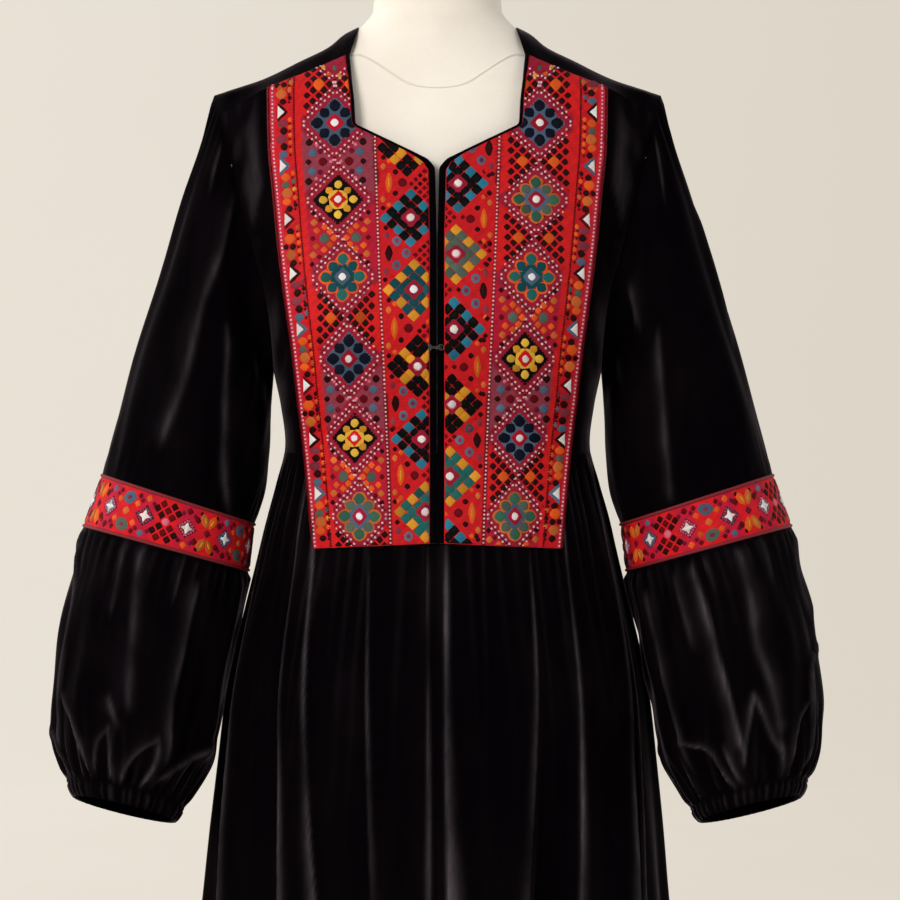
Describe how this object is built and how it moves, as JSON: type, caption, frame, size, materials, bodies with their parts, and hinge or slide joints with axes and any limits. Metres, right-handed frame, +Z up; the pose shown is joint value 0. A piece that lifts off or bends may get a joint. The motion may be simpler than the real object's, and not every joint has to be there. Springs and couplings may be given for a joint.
{
  "type": "embroidered velvet manteau on a limbless dress form",
  "caption": "Long black velvet coat-dress with an embroidered bib, neck slit, balloon sleeves with embroidered bands and gathered cuffs, worn by a limbless dress form on a round foot.",
  "frame": {"origin": "middle of the underside of the stand's foot", "axes": "+Z up, the garment's front faces -Y, the wearer's left is +X"},
  "size_m": [0.678, 0.3947, 1.491],
  "materials": {
    "velvet": "cut pile",
    "embroidery": "dense cross-stitch embroidery",
    "piping": "matte",
    "fastener": "satin",
    "form_cover": "plain weave",
    "stand_tube": "satin",
    "stand_foot": "satin paint"
  },
  "bodies": {
    "root": {"bodice_front_left": "velvet", "bib_left": "embroidery", "binding_left": "velvet", "sleeve_upper_left": "velvet", "piping_upper_left": "piping", "sleeve_band_left": "embroidery", "piping_lower_left": "piping", "sleeve_lower_left": "velvet", "cuff_left": "velvet", "skirt_front_left": "velvet", "bodice_front_right": "velvet", "bib_right": "embroidery", "binding_right": "velvet", "sleeve_upper_right": "velvet", "piping_upper_right": "piping", "sleeve_band_right": "embroidery", "piping_lower_right": "piping", "sleeve_lower_right": "velvet", "cuff_right": "velvet", "skirt_front_right": "velvet", "bodice_back": "velvet", "skirt_back": "velvet", "hook": "fastener", "eye": "fastener", "form_body": "form_cover", "stand_pole": "stand_tube", "stand_collar": "stand_foot", "stand_base": "stand_foot"}
  },
  "joints": []
}
